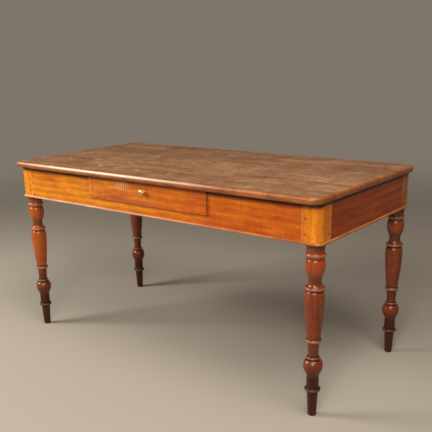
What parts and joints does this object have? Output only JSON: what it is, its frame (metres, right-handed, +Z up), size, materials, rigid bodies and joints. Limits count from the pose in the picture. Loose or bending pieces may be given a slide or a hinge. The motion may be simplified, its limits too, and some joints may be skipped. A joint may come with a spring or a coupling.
{
  "type": "kitchen table with drawer",
  "caption": "Rectangular wooden kitchen or prep table with rounded corners, a beaded apron, turned legs and a shallow knobbed drawer in its front.",
  "frame": {"origin": "on the floor, below the middle of the top", "axes": "+X along the table's length to the right of a person at the drawer, +Y from the drawer's side to the back, +Z up"},
  "size_m": [1.492, 0.755, 0.76],
  "materials": {
    "top_wood": "worn wax, dull satin",
    "frame_wood": "old varnish, satin",
    "leg_wood": "dark varnish, glossy",
    "bead_wood": "worn varnish",
    "peg_wood": "dark end grain",
    "drawer_front_wood": "old varnish with worn bands",
    "lining_wood": "bare planed wood",
    "brass": "turned, dulled with age",
    "iron": "dark and plain"
  },
  "bodies": {
    "table": {"top_board_front": "top_wood", "top_board_middle": "top_wood", "top_board_back": "top_wood", "apron_front": "frame_wood", "apron_back": "frame_wood", "apron_left": "frame_wood", "apron_right": "frame_wood", "leg_front_left": "leg_wood", "leg_front_right": "leg_wood", "leg_back_left": "leg_wood", "leg_back_right": "leg_wood", "bead_front": "bead_wood", "bead_back": "bead_wood", "bead_left": "bead_wood", "bead_right": "bead_wood", "tenon_pegs": "peg_wood", "drawer_runner_left": "lining_wood", "drawer_runner_right": "lining_wood", "drawer_guide_left": "lining_wood", "drawer_guide_right": "lining_wood", "drawer_stops": "lining_wood", "glue_blocks": "lining_wood", "guide_nails": "iron"},
    "drawer": {"drawer_front": "drawer_front_wood", "drawer_side_left": "lining_wood", "drawer_side_right": "lining_wood", "drawer_back": "lining_wood", "drawer_bottom": "lining_wood", "bottom_nails": "iron", "drawer_knob": "brass", "knob_nut": "brass"}
  },
  "joints": [
    {"name": "drawer_slide", "type": "slide", "parent": "table", "child": "drawer", "axis": [0, -1, 0], "range_m": [-0.007, 0.33]}
  ]
}
